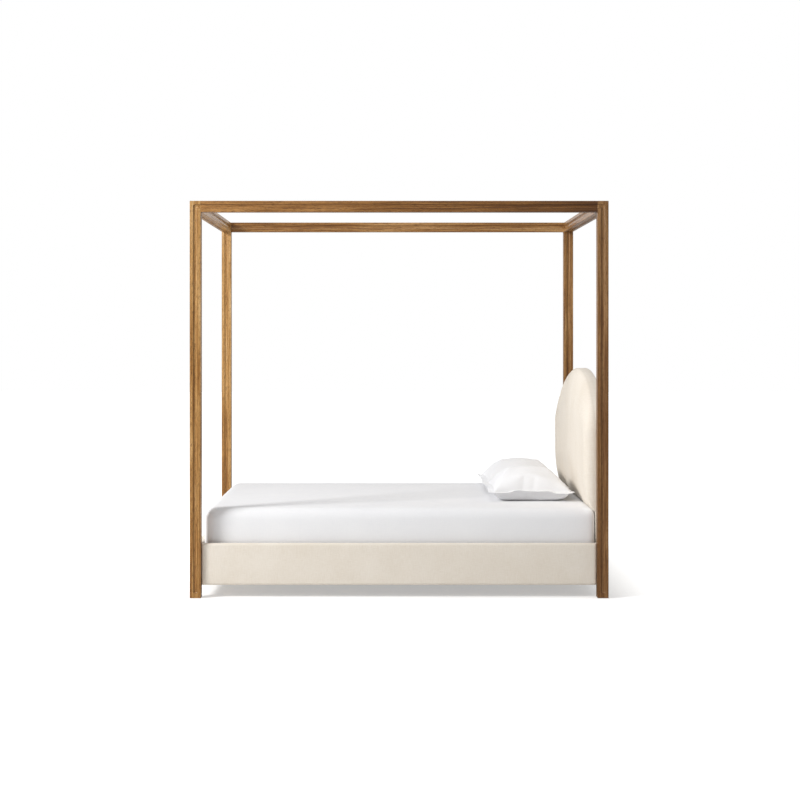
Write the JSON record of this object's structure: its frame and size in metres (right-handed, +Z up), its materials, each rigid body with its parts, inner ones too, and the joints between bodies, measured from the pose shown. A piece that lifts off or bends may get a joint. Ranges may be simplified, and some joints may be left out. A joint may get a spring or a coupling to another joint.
{
  "type": "four poster canopy bed",
  "caption": "Queen-size four poster bed with square fluted oak posts, an open canopy frame, an arched upholstered headboard, padded side rails, mattress and pillows.",
  "frame": {"origin": "on the floor under the middle of the bed", "axes": "+Z up, +X from the foot to the headboard along the bed's length, +Y to the right side of someone lying on their back looking up"},
  "size_m": [2.156, 1.67, 2.046],
  "materials": {
    "oak": "satin",
    "pine": "matte",
    "plywood": "matte",
    "birch_slat": "satin",
    "beech_dowel": "matte",
    "oatmeal_weave": "matte",
    "white_percale": "matte",
    "mattress_ticking": "matte",
    "pillow_fibre": "matte",
    "strap_webbing": "matte",
    "zinc_steel": "satin",
    "glide_nylon": "matte",
    "leveller_nylon": "matte"
  },
  "bodies": {
    "bed": {"beam_hangers": "zinc_steel", "bed_bolt_nuts": "zinc_steel", "bed_bolt_washers": "zinc_steel", "bed_bolts": "zinc_steel", "canopy_cam_bolts": "zinc_steel", "canopy_cams": "zinc_steel", "canopy_rail_foot": "oak", "canopy_rail_head": "oak", "canopy_rail_left": "oak", "canopy_rail_right": "oak", "centre_beam": "pine", "centre_leg_foot": "pine", "centre_leg_head": "pine", "centre_leg_middle": "pine", "fitted_sheet": "white_percale", "foot_rail_board": "pine", "foot_rail_cover": "oatmeal_weave", "head_rail_board": "pine", "head_rail_cover": "oatmeal_weave", "headboard_back_cover": "oatmeal_weave", "headboard_cross_rails": "pine", "headboard_cushion": "oatmeal_weave", "headboard_panel": "plywood", "headboard_stiles": "pine", "headboard_top_board": "pine", "ledge_screws": "zinc_steel", "leg_tee_nuts": "zinc_steel", "mattress": "mattress_ticking", "post_foot_left": "oak", "post_foot_right": "oak", "post_glides": "glide_nylon", "post_head_left": "oak", "post_head_right": "oak", "side_rail_board_left": "pine", "side_rail_board_right": "pine", "side_rail_cover_left": "oatmeal_weave", "side_rail_cover_right": "oatmeal_weave", "slat_01": "birch_slat", "slat_02": "birch_slat", "slat_03": "birch_slat", "slat_04": "birch_slat", "slat_05": "birch_slat", "slat_06": "birch_slat", "slat_07": "birch_slat", "slat_08": "birch_slat", "slat_09": "birch_slat", "slat_10": "birch_slat", "slat_11": "birch_slat", "slat_12": "birch_slat", "slat_ledges": "pine", "slat_straps": "strap_webbing", "wood_dowels": "beech_dowel"},
    "pillow_left": {"pillow_filling_left": "pillow_fibre", "pillow_sham_left": "white_percale"},
    "pillow_right": {"pillow_filling_right": "pillow_fibre", "pillow_sham_right": "white_percale"},
    "leveller_foot": {"leveller_foot": "leveller_nylon"},
    "leveller_middle": {"leveller_middle": "leveller_nylon"},
    "leveller_head": {"leveller_head": "leveller_nylon"}
  },
  "joints": [
    {"name": "pillow_left_lift", "type": "slide", "parent": "bed", "child": "pillow_left", "axis": [0, 0, 1], "range_m": [0, 0.3]},
    {"name": "pillow_right_lift", "type": "slide", "parent": "bed", "child": "pillow_right", "axis": [0, 0, 1], "range_m": [0, 0.3]},
    {"name": "leveller_foot_screw", "type": "slide", "parent": "bed", "child": "leveller_foot", "axis": [0, 0, 1], "range_m": [-0.008, 0.012]},
    {"name": "leveller_middle_screw", "type": "slide", "parent": "bed", "child": "leveller_middle", "axis": [0, 0, 1], "range_m": [-0.008, 0.012]},
    {"name": "leveller_head_screw", "type": "slide", "parent": "bed", "child": "leveller_head", "axis": [0, 0, 1], "range_m": [-0.008, 0.012]}
  ]
}
